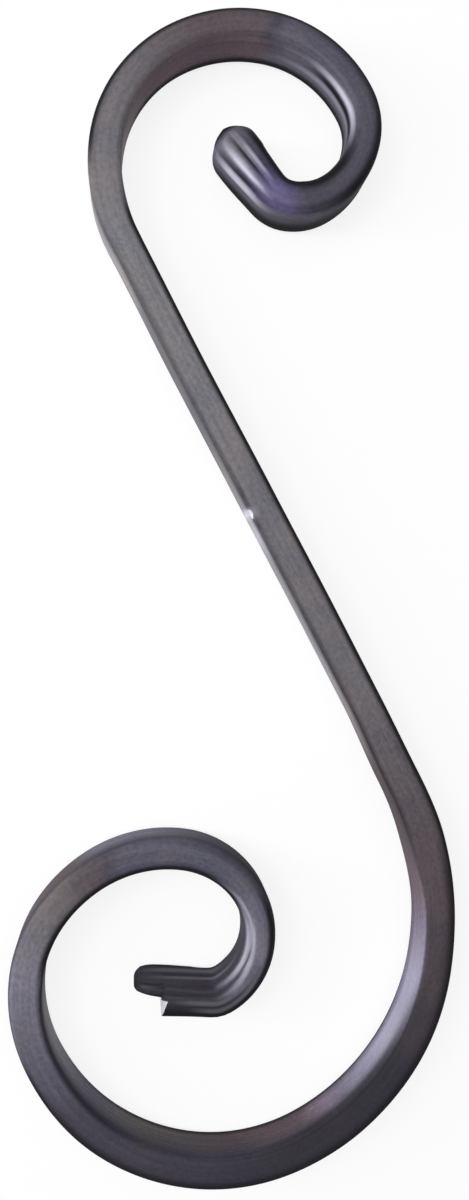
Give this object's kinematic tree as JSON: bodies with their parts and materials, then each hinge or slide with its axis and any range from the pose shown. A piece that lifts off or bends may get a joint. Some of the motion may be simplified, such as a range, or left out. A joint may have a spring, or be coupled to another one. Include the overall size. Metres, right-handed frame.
{
  "type": "wrought iron s scroll",
  "caption": "S-shaped scroll bent from flat iron bar: a straight leaning stem with a small volute at the top, a larger volute at the bottom, a rounded upper end and a broken lower end.",
  "frame": {"origin": "under the middle of the scroll's box, on the plane that its back lies on", "axes": "+Y up the scroll towards the small volute, +Z out of the face that the picture shows, +X to the right in that view"},
  "size_m": [0.1104, 0.2894, 0.016],
  "materials": {
    "iron": "bare mill scale, satin, with blued forged ends and brown oxide on the inner walls"
  },
  "bodies": {
    "root": {"scroll": "iron"}
  },
  "joints": []
}
